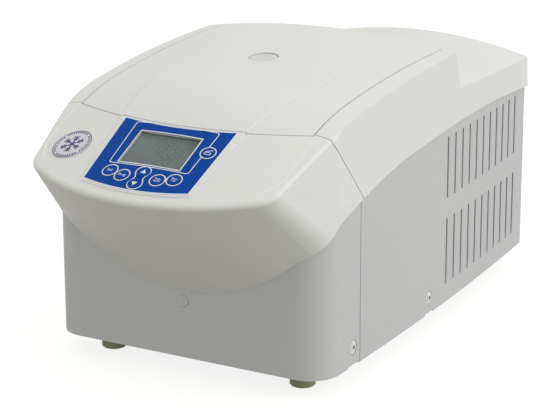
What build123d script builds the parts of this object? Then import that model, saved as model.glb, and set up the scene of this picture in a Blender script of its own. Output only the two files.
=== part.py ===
from build123d import *
from math import asin, atan2, cos, hypot, radians, sin, sqrt, tan
import os

os.makedirs("parts", exist_ok=True)

# Refrigerated microcentrifuge, in millimetres.
# X runs across it, +Y points to its back, Z is up, and the floor under the feet is Z = 0.
# "Back" distances are counted from the flat grey front face towards the rear, and drops down from
# the overall height, or from the piece that carries the part.

# Overall size
width = 276.0
depth = 540.0
height = 263.5
foot_height = 18.6
nose_overhang = 85.0

# Fits and clearances
seam_gap = 1.0
seat_gap = 0.3
running_gap = 0.2
shaft_gap = 0.05
lid_gap = 1.2

# Grey base
base_corner = 27.6
base_rear_width = 237.0
base_rear_corner = 6.0
base_straight = 40.0
panel_wall = 3.0
panel_seam = 66.0
rear_overhang = 4.0
foot_radius = 11.3
foot_across = 195.8
foot_front_back = 36.9
foot_rear_back = 405.0
foot_rear_across = 168.0
notch_length = 19.0
notch_height = 1.4
notch_shift = 1.0

# White upper body
upper_wall = 3.0
upper_rear_width = 244.0
upper_straight = 60.0
upper_rear_corner = 5.0
upper_rear_lean = 1.5
shoulder_drop = 98.5
shoulder_nose_width = 240.0
shoulder_front_width = 265.0
shoulder_mid_width = 262.0
shoulder_rear_width = 238.0
nose_radius = 200.0
nose_half = 127.0
nose_half_rise = 14.9
nose_flare = 0.267
nose_spread = 0.218
nose_corner = 38.0
nose_corner_growth = 0.34
nose_edge_drop = 82.8
nose_edge_radius = 4.0
skirt_foot = 79.0

# Roof line in side view, from the console up over the lid
console_slope = radians(26.8)
console_drop = 38.0
crest_back = 76.0
crest_drop = 14.0
roof_back = 262.0
roof_crown = 800.0
step_run = 8.0
deck_front_drop = 26.5
deck_rear_drop = 36.5
deck_crown = 467.0

# Line between white and grey along the side: distance back, height
parting_line = [(0, 122), (21, 146), (52, 158), (113, 173), (185, 181.8), (262, 187), (455, 182)]

# Seam between the console cover and the upper housing in side view
cover_seam_top_back = 24.0
cover_seam_knee_drop = 41.5
cover_seam_foot_back = 74.0
cover_seam_foot_height = 160.0

# Lid
lid_front_half = 115.4
lid_rear_half = 117.0
lid_front_back = -0.7
lid_corner_back = 22.5
lid_wall = 3.0
lid_rim_drop = 53.5
well_wall = 2.5
hinge_back = 257.0
hinge_drop = 18.5
hinge_pin_radius = 2.5
hinge_plate = 3.0
sight_back = 139.2
sight_radius = 13.5
sight_depth = 4.0
sight_recess = 0.9
sight_boss = 8.0
sight_ledge = 2.0
sight_tube_wall = 2.0
catch_back = 16.0
catch_reach = 27.0
catch_half = 4.0
catch_sheet = 3.0
catch_window = 7.0
gasket_width = 6.0

# Raised tongue on the lid and the console: half width at distances back
tongue_height = 1.2
tongue_foot_back = -70.8
tongue_foot_mid_back = -78.3
tongue_foot_half = 53.2
tongue_seam_half = 61.0
tongue_wide_back = 128.0
tongue_wide_half = 78.0
tongue_shoulder_back = 192.0
tongue_shoulder_half = 55.0
tongue_tip_back = 217.0

# Control panel on the console
foil_top_half = 56.0
foil_top_back = 2.0
foil_top_mid_back = -4.0
foil_foot_half = 51.7
foil_foot_back = -69.5
foil_foot_mid_back = -77.0
foil_thickness = 0.6
display_across = 60.0
display_along = 40.0
display_back = -29.8
window_thickness = 1.4
key_radius = 6.0
key_proud = 0.5
key_level = 5.0
key_places = {
    "set": (-31.2, -58.3),
    "program": (-17.0, -61.9),
    "up": (0.6, -56.0),
    "down": (-0.6, -68.7),
    "stop": (17.4, -61.7),
    "start": (31.6, -58.3),
    "lid": (43.3, -24.5),
}
window_sunk = 1.6
module_rim = 3.0
module_depth = 6.0
control_board_across = 104.0
control_board_along = 60.0
control_board_shift = -12.0
dome_height = 0.8
badge_across = -89.5
badge_back = -30.5
badge_radius = 18.0
badge_thickness = 0.6

# Louvres in both sides of the hood
louvre_count = 11
louvre_pitch = 17.6
louvre_first_back = 244.0
louvre_length = 14.0
louvre_slit = 5.0
louvre_depth = 1.2
louvre_rows = [(36.3, 99.8), (119.6, 178.0)]

# Lid lock under the deck
lock_width = 34.0
lock_length = 22.0
lock_height = 38.0
lock_slot_half = 2.4
hook_length = 19.0
hook_width = 9.0
hook_hole = 1.6

# Cooled chamber
chamber_back = 139.0
deck_corner_cut = 20.0
deck_plate_drop = 56.5
deck_plate = 3.0
bowl_radius = 96.0
bowl_depth = 95.0
bowl_wall = 1.2
bowl_flange = 5.5
coil_wire = 6.0
coil_turns = 6
coil_pitch = 12.0
insulation_radius = 112.0
shaft_radius = 6.0
shaft_seal_radius = 20.0

# Rotor
rotor_radius = 88.0
rotor_lift = 20.0
rotor_high = 46.0
rotor_funnel_depth = 28.0
rotor_funnel_outer = 74.0
rotor_funnel_inner = 38.0
tube_count = 24
tube_radius = 5.5
tube_length = 33.0
rotor_lid_thickness = 3.5
rotor_hub = 22.0
rotor_chamfer = 8.0
rotor_taper = 14.0
rotor_lip = 3.0
hub_collar = 5.0
stud_step = 2.0
knob_radius = 15.0
knob_height = 16.0
knob_flute = 5.0
knob_flutes = 8

# Motor
motor_radius = 50.0
motor_plate_size = 150.0
motor_plate_drop = 24.0
motor_plate_thickness = 5.0
motor_floor_gap = 9.4
buffer_spread = 120.0
buffer_radius = 10.0
buffer_height = 25.0
motor_boss = 15.0
motor_end_wall = 6.0

# Chassis
pan_sheet = 2.0
pan_flange = 22.0
frame_half = 118.0
frame_sheet = 2.0
frame_front_back = 22.0
frame_rear_back = 250.0
bulkhead_back = 256.0

# Refrigeration, in the rear compartment
compressor_across = -45.0
compressor_back = 362.0
compressor_radius = 56.0
grommet_height = 10.0
grommet_radius = 9.0
grommet_spread = (100.0, 70.0)
compressor_plate = (124.0, 90.0)
compressor_plate_sheet = 3.0
compressor_crown = 20.0
condenser_across = 92.0
condenser_thickness = 22.0
condenser_length = 145.0
condenser_drop = 46.1
condenser_back = 350.0
condenser_tube = 3.5
fin_pitch = 6.0
fin_sheet = 1.0
fan_share = 0.4
fan_width = 16.0
fan_tip_gap = 2.0
fan_hub_radius = 18.0
fan_blades = 7
fan_blade_sheet = 1.6
fan_blade_twist = 55.0
fan_shaft = 3.0
fan_motor_radius = 16.0
fan_motor_length = 28.0
shroud_sheet = 2.0
pipe_radius = 3.0
drier_radius = 11.0
drier_length = 90.0
drier_across = 32.0
drier_rise = 20.0
pipe_bend = 12.0
discharge_shift = 25.0
discharge_rise = 24.0
suction_drop = 25.0
suction_rise = 16.4

# Electrics
inlet_across = -62.0
inlet_height = 76.0
switch_across = -98.0
inlet_flange = 48.0
flange_thickness = 2.5
inlet_depth = 24.0
socket_across = 27.5
socket_high = 19.5
socket_wall = 1.75
drawer_across = 22.0
drawer_high = 8.0
drawer_drop = 18.0
drawer_wall = 1.0
drawer_length = 21.0
switch_high = 22.0
switch_wide = 14.0
switch_depth = 18.0
rocker_half = 9.0
rocker_sunk = 3.0
rocker_pin = 1.2
rocker_pin_reach = 0.9
board = 1.6
board_half = 44.0
board_across = -58.0
board_drop = 3.0
board_back = 8.0
sink_base = 4.0
sink_across = 74.0
sink_drop = 12.0
sink_low = 45.0
sink_fin = 18.0
sink_fin_pitch = 8.0
release_height = 70.5
release_radius = 5.6
screw_places = [(53.4, 35.9), (207.0, 34.2)]
screw_recess_radius = 6.8
screw_recess_depth = 0.8
screw_head_radius = 3.7
screw_head_height = 1.6
screw_cross = 4.2
screw_cross_width = 1.4
washer_thickness = 0.5
plug_length = 24.0
plug_proud = 0.8

# Worked out from the values above
half = width / 2
rear = depth / 2
front = -depth / 2 + nose_overhang
base_rear = rear - rear_overhang
floor = foot_height
pan_top = floor + pan_sheet
shoulder_low = height - shoulder_drop
nose_edge_height = height - nose_edge_drop
console_top = height - console_drop
crest_height = height - crest_drop
deck_front_height = height - deck_front_drop
deck_rear_height = height - deck_rear_drop
cover_seam_knee_height = height - cover_seam_knee_drop
lid_rim_height = height - lid_rim_drop
hinge_height = height - hinge_drop
deck_plate_top = height - deck_plate_drop
catch_low = deck_plate_top - catch_reach
bowl_floor = deck_plate_top - bowl_depth
rotor_bottom = bowl_floor + rotor_lift
rotor_top = rotor_bottom + rotor_high
rotor_floor = rotor_top - rotor_funnel_depth
motor_plate_height = bowl_floor - motor_plate_drop
motor_length = motor_plate_height - pan_top - motor_floor_gap
suction_height = deck_plate_top - suction_drop
nose_tip = front - (console_top - nose_edge_height) / tan(console_slope)
skirt_run = front - nose_tip
skirt_fall = nose_edge_height - skirt_foot
crest_slope = 2 * atan2(crest_height - console_top, crest_back) - console_slope
roof_end_slope = 2 * atan2(height - crest_height, roof_back - crest_back) - crest_slope
step_foot = front + roof_back + step_run
axis_height = height - roof_crown
deck_axis_height = deck_rear_height - deck_crown
sector = 60.0
chamber = (0, front + chamber_back)
far = 2 * depth


def finish(piece, name):
    """Label a piece and write it as its own file."""
    piece.part.label = name
    export_step(piece.part, f"parts/{name}.step")


def arc_radius(run, rise, slope_change):
    """Radius of the arc that spans run and rise while turning by slope_change."""
    return hypot(run, rise) / (2 * sin(slope_change / 2))


def roof_line(back):
    """Height and slope of the roof's centre line at a distance back from the front face."""
    if back < 0:
        return console_top + back * tan(console_slope), console_slope
    if back < crest_back:
        radius = arc_radius(crest_back, crest_height - console_top, console_slope - crest_slope)
        slope = asin(sin(console_slope) - back / radius)
        return console_top + radius * (cos(slope) - cos(console_slope)), slope
    run = roof_back - crest_back
    radius = arc_radius(run, height - crest_height, crest_slope - roof_end_slope)
    slope = asin(sin(crest_slope) - (back - crest_back) / radius)
    return crest_height + radius * (cos(slope) - cos(crest_slope)), slope


def roof_plane(across, back, lift=0.0):
    """Plane that touches the crowned roof at a place in plan, raised by lift along its normal."""
    top, slope = roof_line(back)
    radius = top - axis_height
    lean = asin(across / radius)
    normal = Vector(sin(lean) * cos(slope), -sin(slope), cos(lean) * cos(slope))
    place = Vector(across, front + back, axis_height + radius * cos(lean))
    return Plane(origin=place + normal * lift, x_dir=(cos(lean), 0, -sin(lean)), z_dir=normal)


def sector_plane(z):
    """Plane along Y from which a crowned block is revolved; its local height is the radius."""
    lean = radians(sector / 2)
    return Plane(origin=(0, 0, z), x_dir=(0, 1, 0), z_dir=(cos(lean), 0, sin(lean)))


def roof_block(inset):
    """Everything under the console and the lid's roof, lowered by inset."""
    lift = -axis_height - inset
    start = front - nose_overhang * 2
    step_top = (front + roof_back - inset, height + lift)
    step_low = (step_foot - inset, deck_front_height - upper_wall + lift)
    with BuildPart() as block:
        with BuildSketch(sector_plane(axis_height)):
            with BuildLine():
                start_height = console_top + lift - (front - start) * tan(console_slope)
                console = Line((start, start_height), (front, console_top + lift))
                crest = (front + crest_back, crest_height + lift)
                rise = TangentArc(console @ 1, crest, tangent=console % 1)
                roof = TangentArc(rise @ 1, step_top, tangent=rise % 1)
                Polyline(roof @ 1, step_low, (step_low[0], 0), (start, 0), console @ 0)
            make_face()
        revolve(axis=Axis((0, 0, axis_height), (0, 1, 0)), revolution_arc=sector)
    return block.part


def deck_block(inset, from_back=roof_back - 20):
    """Everything under the low rear deck, lowered by inset."""
    lift = -deck_axis_height - inset
    drop = (deck_front_height - deck_rear_height) / (rear - step_foot)
    start = front + from_back
    with BuildPart() as block:
        with BuildSketch(sector_plane(deck_axis_height)):
            with BuildLine():
                start_height = deck_front_height + lift + (step_foot - start) * drop
                end = (rear + 10, deck_rear_height + lift - 10 * drop)
                Polyline((start, start_height), end, (end[0], 0), (start, 0), close=True)
            make_face()
        revolve(axis=Axis((0, 0, deck_axis_height), (0, 1, 0)), revolution_arc=sector)
    return block.part


def side_outline(level, tip_half, front_half, mid_half, rear_half, rear_y, inset):
    """Plan of the white body's two sides and back at one height."""
    with BuildSketch(Plane.XY.offset(level)) as outline:
        with BuildLine():
            start = front - nose_overhang * 2
            turn = front + upper_straight
            back = rear_y - inset
            side = Line((tip_half - inset, start), (front_half - inset, turn))
            mid = (mid_half - inset, (turn + rear_y) / 2)
            bow = ThreePointArc(side @ 1, mid, (rear_half - inset, back))
            across = Line(bow @ 1, (inset - rear_half, back))
            other_bow = ThreePointArc(across @ 1, (-mid[0], mid[1]), (inset - front_half, turn))
            other_side = Line(other_bow @ 1, (inset - tip_half, start))
            Line(other_side @ 1, side @ 0)
        make_face()
        fillet(outline.vertices().group_by(Axis.Y)[-1], upper_rear_corner - inset)
    return outline.sketch


def side_bow(start, y, rear_width):
    """How far a side has bowed inwards at y, from where its bow starts."""
    return (width - rear_width) / 2 * ((y - start) / (rear - start)) ** 2


def nose_outline(z, inset):
    """Plan of the overhanging nose at one height: a bow, two round corners and sides that flare."""
    rise = z - nose_edge_height
    vertex = nose_tip - rise * skirt_run / skirt_fall + inset
    radius = nose_radius - inset
    level = nose_half + (nose_half_rise - rise) * nose_flare - inset
    reach = level
    for step in range(20):
        bow_back = vertex + radius - sqrt(radius**2 - reach**2)
        reach = level + (bow_back - vertex - skirt_run) * nose_spread
    end = front + 2 * cover_seam_foot_back
    end_half = level + (end - vertex - skirt_run) * nose_spread
    with BuildSketch(Plane.XY.offset(z)) as outline:
        with BuildLine():
            bow = ThreePointArc((-reach, bow_back), (0, vertex), (reach, bow_back))
            Polyline(bow @ 1, (end_half, end), (-end_half, end), bow @ 0)
        make_face()
        corner = nose_corner + (nose_half_rise - rise) * nose_corner_growth - inset
        fillet(outline.vertices().group_by(Axis.Y)[0], corner)
    return outline.sketch


def upper_block(inset):
    """The white upper body as a solid block, every wall moved inwards by inset."""
    guide = height + 5
    turn = front + upper_straight
    mid_half = half - side_bow(turn, (turn + rear) / 2, upper_rear_width)
    low = side_outline(shoulder_low, half, half, mid_half, upper_rear_width / 2, rear, inset)
    high = side_outline(
        guide, shoulder_nose_width / 2, shoulder_front_width / 2, shoulder_mid_width / 2,
        shoulder_rear_width / 2, rear - upper_rear_lean, inset
    )
    with BuildPart() as sides:
        loft([low, high], ruled=True)
        extrude(low, amount=shoulder_low - skirt_foot + 20, dir=(0, 0, -1))
    with BuildPart() as block:
        loft([nose_outline(skirt_foot - 15, inset), nose_outline(guide, inset)], ruled=True)
        with Locations((0, front + cover_seam_foot_back, foot_height)):
            Box(width, far, height, align=(Align.CENTER, Align.MIN, Align.MIN))
        add(sides.part, mode=Mode.INTERSECT)
        add(roof_block(inset) + deck_block(inset), mode=Mode.INTERSECT)
        lip = block.edges().filter_by_position(Axis.Y, nose_tip - 5, front - 1)
        lip = lip.filter_by_position(Axis.Z, nose_edge_height - 5, height)
        fillet(lip.filter_by(lambda edge: edge.center().Y < front - 1), nose_edge_radius - inset)
    return block.part


def base_outline(inset, z):
    """Plan of the grey base, with every wall moved inwards by inset."""
    with BuildSketch(Plane.XY.offset(z)) as outline:
        with BuildLine():
            turn = front + base_straight
            face = front + inset
            back = base_rear - inset
            reach = half - inset
            rear_reach = base_rear_width / 2 - inset
            mid_y = (turn + base_rear) / 2
            mid_half = reach - side_bow(turn, mid_y, base_rear_width)
            Line((-reach, face), (reach, face))
            Line((reach, face), (reach, turn))
            ThreePointArc((reach, turn), (mid_half, mid_y), (rear_reach, back))
            Line((rear_reach, back), (-rear_reach, back))
            ThreePointArc((-rear_reach, back), (-mid_half, mid_y), (-reach, turn))
            Line((-reach, turn), (-reach, face))
        make_face()
        corners = outline.vertices().group_by(Axis.Y)
        fillet(corners[0], base_corner - inset)
        fillet(corners[-1], base_rear_corner - inset)
    return outline.sketch


def base_half(back):
    """Half the width of the grey base at a distance back."""
    if back < base_straight:
        return half
    return half - side_bow(front + base_straight, front + back, base_rear_width)


def side_view(points, curve=None):
    """Block across the whole width with an outline given in side view."""
    with BuildPart() as block:
        with BuildSketch(Plane.YZ):
            with BuildLine():
                if curve:
                    line = Spline(*curve)
                    Polyline(line @ 1, *points, line @ 0)
                else:
                    Polyline(*points, close=True)
            make_face()
        extrude(amount=width, both=True)
    return block.part


def under_parting(drop):
    """Everything behind the front face and below the white body's lower edge."""
    start = front - seat_gap
    line = [(front + back, z - drop) for back, z in parting_line]
    line[0] = (start, line[0][1])
    return side_view([(rear + 20, line[-1][1]), (rear + 20, -20), (start, -20)], line)


def lid_plan(grow, z, top):
    """Block over the lid's plan, grown on all sides."""
    with BuildPart() as block:
        with BuildSketch(Plane.XY.offset(z)):
            with BuildLine():
                corner = (lid_front_half, front + lid_corner_back)
                bow = ThreePointArc(
                    (-corner[0], corner[1]), (0, front + lid_front_back), corner
                )
                Polyline(bow @ 1, (lid_rear_half, step_foot), (-lid_rear_half, step_foot), bow @ 0)
            make_face()
            if grow:
                offset(amount=grow, kind=Kind.INTERSECTION)
        extrude(amount=top - z)
    return block.part


def tongue_block():
    """Block over the plan of the raised tongue that runs from the console up the lid."""
    with BuildPart() as block:
        with BuildSketch(Plane.XY.offset(nose_edge_height - 20)):
            with BuildLine():
                foot = (tongue_foot_half, front + tongue_foot_back)
                bow = ThreePointArc(
                    (-foot[0], foot[1]), (0, front + tongue_foot_mid_back), foot
                )
                seam = (tongue_seam_half, front)
                side = Line(bow @ 1, seam)
                tip = (0, front + tongue_tip_back)
                wide = (tongue_wide_half, front + tongue_wide_back)
                shoulder = (tongue_shoulder_half, front + tongue_shoulder_back)
                right = Spline(seam, wide, shoulder, tip, tangents=[side % 1, (-1, 0)])
                left = Spline(
                    tip, (-shoulder[0], shoulder[1]), (-wide[0], wide[1]), (-seam[0], seam[1]),
                    tangents=[(-1, 0), ((side % 1).X, -(side % 1).Y)]
                )
                Line(left @ 1, bow @ 0)
            make_face()
        extrude(amount=height)
    return block.part


# Blocks shared by the shells
outer = upper_block(0)
inner = upper_block(upper_wall)
tongue = tongue_block() & (roof_block(-tongue_height) - roof_block(upper_wall / 2))
well_low = deck_plate_top + seat_gap
white_low = under_parting(0)

# White shell with the lid's opening and the wall of the lid's well round it
with BuildPart() as white:
    add(outer)
    add(inner, mode=Mode.SUBTRACT)
    well = lid_plan(lid_gap + well_wall, well_low, height) & outer
    add(well)
    add(lid_plan(lid_gap, well_low - 5, height + 5), mode=Mode.SUBTRACT)
    add(white_low, mode=Mode.SUBTRACT)

seam_back = front + cover_seam_top_back


def cover_side(shift):
    """Everything in front of the seam between the console cover and the upper housing."""
    foot = front + cover_seam_foot_back + shift
    return side_view([
        (nose_tip - 20, 0), (foot, 0), (foot, cover_seam_foot_height),
        (seam_back + shift, cover_seam_knee_height), (seam_back + shift, height + 20),
        (nose_tip - 20, height + 20)
    ])


# Console cover: the overhanging nose, with the tongue's foot and the openings of the panel
keys_top = tongue_height + foil_thickness
display_plane = roof_plane(0, display_back)
with BuildPart() as front_cover:
    add(white.part & cover_side(-seam_gap / 2))
    add(tongue - lid_plan(lid_gap, 0, height + 10))
    with BuildSketch(display_plane):
        Rectangle(display_across, display_along)
    extrude(amount=3 * upper_wall, both=True, mode=Mode.SUBTRACT)
    for across, back in key_places.values():
        with BuildSketch(roof_plane(across, back)):
            Circle(key_radius + running_gap)
        extrude(amount=3 * upper_wall, both=True, mode=Mode.SUBTRACT)
finish(front_cover, "front_cover")

# Upper housing: cheeks, side strips, the well behind them and the low rear deck
hinge_y = front + hinge_back
hinge_line = Plane(origin=(0, hinge_y, hinge_height), z_dir=(1, 0, 0))
with BuildPart() as upper_housing:
    add(white.part - cover_side(seam_gap / 2))
    with BuildSketch(hinge_line):
        Circle(hinge_pin_radius + seat_gap)
    extrude(amount=lid_rear_half + lid_gap + well_wall + 1, both=True, mode=Mode.SUBTRACT)
finish(upper_housing, "upper_housing")

# Lid shell: domed skin with a rim all round and the step as its rear face
sight_plane = roof_plane(0, sight_back)
sight_top = tongue_height - sight_recess
with BuildPart() as lid_shell:
    add(lid_plan(0, lid_rim_height, height + 10) & roof_block(0))
    add(tongue & lid_plan(0, 0, height + 10))
    hollow = lid_plan(-lid_wall, lid_rim_height - 5, height) & roof_block(lid_wall)
    add(hollow, mode=Mode.SUBTRACT)
    with BuildSketch(sight_plane):
        Circle(sight_radius + lid_wall)
    extrude(amount=-sight_boss)
    with BuildSketch(sight_plane.offset(sight_top - sight_depth - seat_gap)):
        Circle(sight_radius + running_gap)
    extrude(amount=sight_depth + 5, mode=Mode.SUBTRACT)
    with BuildSketch(sight_plane):
        Circle(sight_radius - sight_ledge)
    extrude(amount=-sight_boss - 5, mode=Mode.SUBTRACT)
    add(deck_block(-lid_gap, roof_back - step_run), mode=Mode.SUBTRACT)
    with BuildSketch(hinge_line):
        Circle(hinge_pin_radius + seat_gap)
    extrude(amount=half, both=True, mode=Mode.SUBTRACT)
finish(lid_shell, "lid_shell")

# Lid liner: flat underside of the lid
liner_low = lid_rim_height + 1
liner_top = liner_low + lid_wall
liner_rear = front + hinge_back - 7
tube_radius_out = sight_radius - 1
with BuildPart() as lid_liner:
    add(lid_plan(-lid_wall - seat_gap, liner_low, liner_top))
    with Locations((0, liner_rear, liner_low - 1)):
        Box(width, depth, 2 * lid_wall, align=(Align.CENTER, Align.MIN, Align.MIN), mode=Mode.SUBTRACT)
    with Locations((0, front + sight_back, liner_low - 1)):
        Cylinder(
            tube_radius_out + seat_gap, 2 * lid_wall, align=(Align.CENTER, Align.CENTER, Align.MIN),
            mode=Mode.SUBTRACT
        )
finish(lid_liner, "lid_liner")

# Sight glass in the lid, and the clear tube below it
with BuildPart() as sight_window:
    with BuildSketch(sight_plane.offset(sight_top - sight_depth)):
        Circle(sight_radius)
    extrude(amount=sight_depth)
    chamfer(sight_window.edges().group_by(Axis.Z)[-1], 0.6)
finish(sight_window, "sight_window")

sight_height, sight_slope = roof_line(sight_back)
tube_top = sight_height - sight_boss - sight_radius * sin(sight_slope) - seat_gap
with BuildPart() as sight_tube:
    with BuildSketch(Plane.XY.offset(liner_low)):
        with Locations((0, front + sight_back)):
            Circle(tube_radius_out)
            Circle(tube_radius_out - sight_tube_wall, mode=Mode.SUBTRACT)
    extrude(amount=tube_top - liner_low)
finish(sight_tube, "sight_tube")

# Rubber seal under the lid, over the bowl's flange
flange_top = deck_plate_top + bowl_wall
flange_radius = bowl_radius + bowl_flange
with BuildPart() as lid_gasket:
    with BuildSketch(Plane.XY.offset(flange_top + seat_gap)):
        with Locations(chamber):
            Circle(bowl_radius + 1 + gasket_width)
            Circle(bowl_radius + 1, mode=Mode.SUBTRACT)
    extrude(amount=liner_low - flange_top - seat_gap)
finish(lid_gasket, "lid_gasket")

# Catch plate under the lid's front, with the window that the lock's hook enters
with BuildPart() as lid_catch:
    with BuildSketch(Plane.YZ.offset(-catch_sheet / 2)):
        with Locations((front + catch_back, (catch_low + liner_low) / 2)):
            Rectangle(2 * catch_half, liner_low - catch_low)
        with Locations((front + catch_back, catch_low + catch_window + 1)):
            Rectangle(catch_half, catch_window, mode=Mode.SUBTRACT)
    extrude(amount=catch_sheet)
finish(lid_catch, "lid_catch")

# Steel plates inside the lid's side walls that turn on the hinge pins
plate_outer = lid_rear_half - lid_wall - 2 * seat_gap
with BuildPart() as lid_hinge_plates:
    with BuildSketch(Plane.YZ.offset(plate_outer - hinge_plate)):
        with BuildLine():
            Polyline(
                (front + 200, liner_top), (liner_rear - 2, liner_top), (hinge_y + 4, hinge_height - 9),
                (hinge_y + 4.2, hinge_height - 2), (hinge_y, hinge_height + 5),
                (hinge_y - 7, hinge_height + 5), (front + 215, liner_top + 12), close=True
            )
        make_face()
        with Locations((hinge_y, hinge_height)):
            Circle(hinge_pin_radius + shaft_gap, mode=Mode.SUBTRACT)
    extrude(amount=hinge_plate)
    mirror(about=Plane.YZ)
finish(lid_hinge_plates, "lid_hinge_plates")

# Brackets on the chassis that carry the pins, in the hollow of the side strips
bracket_inner = lid_rear_half + lid_gap + well_wall + 1.5
with BuildPart() as hinge_brackets:
    with BuildSketch(Plane.YZ.offset(bracket_inner)):
        with BuildLine():
            Polyline(
                (hinge_y - 13, deck_plate_top), (hinge_y + 5, deck_plate_top),
                (hinge_y + 4, hinge_height - 5), (hinge_y + 2.2, hinge_height + 2.8),
                (hinge_y - 4, hinge_height + 3.2), (hinge_y - 13, hinge_height - 10), close=True
            )
        make_face()
        with Locations((hinge_y, hinge_height)):
            Circle(hinge_pin_radius, mode=Mode.SUBTRACT)
    extrude(amount=hinge_plate)
    mirror(about=Plane.YZ)
finish(hinge_brackets, "hinge_brackets")

pin_inner = plate_outer - hinge_plate - 1
pin_outer = bracket_inner + hinge_plate + 0.5
with BuildPart() as hinge_pins:
    with BuildSketch(hinge_line.offset(pin_inner)):
        Circle(hinge_pin_radius)
    extrude(amount=pin_outer - pin_inner)
    mirror(about=Plane.YZ)
finish(hinge_pins, "hinge_pins")

# Base pan: folded floor sheet with a flange all round and four studs for the motor
pan_inset = panel_wall + seat_gap
stud_top = motor_plate_height - buffer_height
with BuildPart() as base_pan:
    extrude(base_outline(pan_inset, floor), amount=pan_sheet + pan_flange)
    extrude(base_outline(pan_inset + pan_sheet, pan_top), amount=pan_flange + 1, mode=Mode.SUBTRACT)
    with BuildSketch(Plane.XY.offset(floor)):
        with Locations(chamber):
            with GridLocations(buffer_spread, buffer_spread, 2, 2):
                Circle(buffer_radius - 1)
    extrude(amount=stud_top - floor)
    for back, z in screw_places:
        with BuildSketch(Plane.YZ):
            with Locations((front + back, z)):
                Circle(screw_head_radius / 2 + running_gap)
        extrude(amount=half, both=True, mode=Mode.SUBTRACT)
finish(base_pan, "base_pan")

# Four rubber feet under the pan
with BuildPart() as rubber_feet:
    with BuildSketch():
        with Locations((0, front + foot_front_back)):
            with GridLocations(foot_across, 1, 2, 1):
                Circle(foot_radius)
        with Locations((0, front + foot_rear_back)):
            with GridLocations(foot_rear_across, 1, 2, 1):
                Circle(foot_radius)
    extrude(amount=foot_height)
    chamfer(rubber_feet.edges().group_by(Axis.Z)[0], 1.2)
finish(rubber_feet, "rubber_feet")


def side_recess(back, z, radius, deep):
    """A round pocket in both grey sides."""
    face = base_half(back) - deep
    with BuildPart() as pocket:
        with BuildSketch(Plane.YZ.offset(face)):
            with Locations((front + back, z)):
                Circle(radius)
        extrude(amount=deep + 2)
        mirror(about=Plane.YZ)
    return pocket.part


# Grey base wall, cut below the white body's lower edge
with BuildPart() as grey:
    extrude(base_outline(0, floor), amount=height - floor)
    extrude(base_outline(panel_wall, floor - 5), amount=height, mode=Mode.SUBTRACT)
    add(under_parting(seat_gap), mode=Mode.INTERSECT)
    for back, z in screw_places:
        add(side_recess(back, z, screw_recess_radius, screw_recess_depth), mode=Mode.SUBTRACT)
        add(side_recess(back, z, screw_head_radius / 2 + running_gap, 2 * panel_wall), mode=Mode.SUBTRACT)
    for back, z in screw_places:
        with Locations((0, front + back + notch_shift, floor)):
            Box(2 * width, notch_length, 2 * notch_height, mode=Mode.SUBTRACT)

seam_y = front + panel_seam
front_half_space = Pos(0, seam_y - seam_gap / 2, 0) * Box(
    2 * width, far, far, align=(Align.CENTER, Align.MAX, Align.CENTER)
)
rear_half_space = Pos(0, seam_y + seam_gap / 2, 0) * Box(
    2 * width, far, far, align=(Align.CENTER, Align.MIN, Align.CENTER)
)

# Front panel: grey wall round the front, with the hole of the release plug
with BuildPart() as front_panel:
    add(grey.part & front_half_space)
    with BuildSketch(Plane.XZ.offset(-front)):
        with Locations((0, release_height)):
            Circle(release_radius + running_gap)
    extrude(amount=4 * panel_wall, both=True, mode=Mode.SUBTRACT)
finish(front_panel, "front_panel")


def louvre_cuts():
    """Wedge-shaped pockets and their slits in the right side of the hood."""
    with BuildPart() as cuts:
        for number in range(louvre_count):
            back = louvre_first_back + number * louvre_pitch
            near = (base_half(back), front + back)
            far_end = (base_half(back + louvre_length), front + back + louvre_length)
            for low, high in louvre_rows:
                with BuildSketch(Plane.XY.offset(low)):
                    with BuildLine():
                        Polyline(
                            (near[0] - louvre_depth, near[1]), far_end, (far_end[0] + 2, far_end[1]),
                            (near[0] + 2, near[1]), close=True
                        )
                    make_face()
                    with BuildLine():
                        Polyline(
                            (near[0] - 2 * panel_wall, near[1]), (near[0] + 2, near[1]),
                            (near[0] + 2, near[1] + louvre_slit),
                            (near[0] - 2 * panel_wall, near[1] + louvre_slit), close=True
                        )
                    make_face()
                extrude(amount=high - low)
    return cuts.part


# Hood: grey sides and rear wall, with louvres, and the cut-outs of the mains parts
back_plane = Plane(origin=(0, base_rear, 0), x_dir=(-1, 0, 0), z_dir=(0, 1, 0))
louvres = louvre_cuts()
with BuildPart() as rear_hood:
    add(grey.part & rear_half_space)
    add(louvres, mode=Mode.SUBTRACT)
    add(mirror(louvres, about=Plane.YZ), mode=Mode.SUBTRACT)
    with BuildSketch(back_plane):
        with Locations((-inlet_across, inlet_height)):
            Rectangle(socket_across + 1, socket_high + 1)
        with Locations((-inlet_across, inlet_height - drawer_drop)):
            Rectangle(drawer_across + 1, drawer_high + 1)
        with Locations((-switch_across, inlet_height)):
            Rectangle(switch_wide + 1, switch_high + 1)
    extrude(amount=-3 * panel_wall, mode=Mode.SUBTRACT)
finish(rear_hood, "rear_hood")

# Screws with washers in the side recesses
with BuildPart() as side_screws:
    for back, z in screw_places:
        seat = base_half(back) - screw_recess_depth
        with BuildSketch(Plane.YZ.offset(seat + shaft_gap)):
            with Locations((front + back, z)):
                Circle(screw_recess_radius - 1)
        extrude(amount=washer_thickness)
        with BuildSketch(Plane.YZ.offset(seat + shaft_gap)):
            with Locations((front + back, z)):
                Circle(screw_head_radius)
        extrude(amount=screw_head_height)
        with BuildSketch(Plane.YZ.offset(seat + shaft_gap)):
            with Locations((front + back, z)):
                Circle(screw_head_radius / 2)
        extrude(amount=-panel_wall)
        with BuildSketch(Plane.YZ.offset(seat + shaft_gap + screw_head_height)):
            with Locations((front + back, z)):
                Rectangle(screw_cross_width, screw_cross)
                Rectangle(screw_cross, screw_cross_width)
        extrude(amount=-screw_head_height / 2, mode=Mode.SUBTRACT)
    mirror(about=Plane.YZ)
finish(side_screws, "side_screws")

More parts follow.
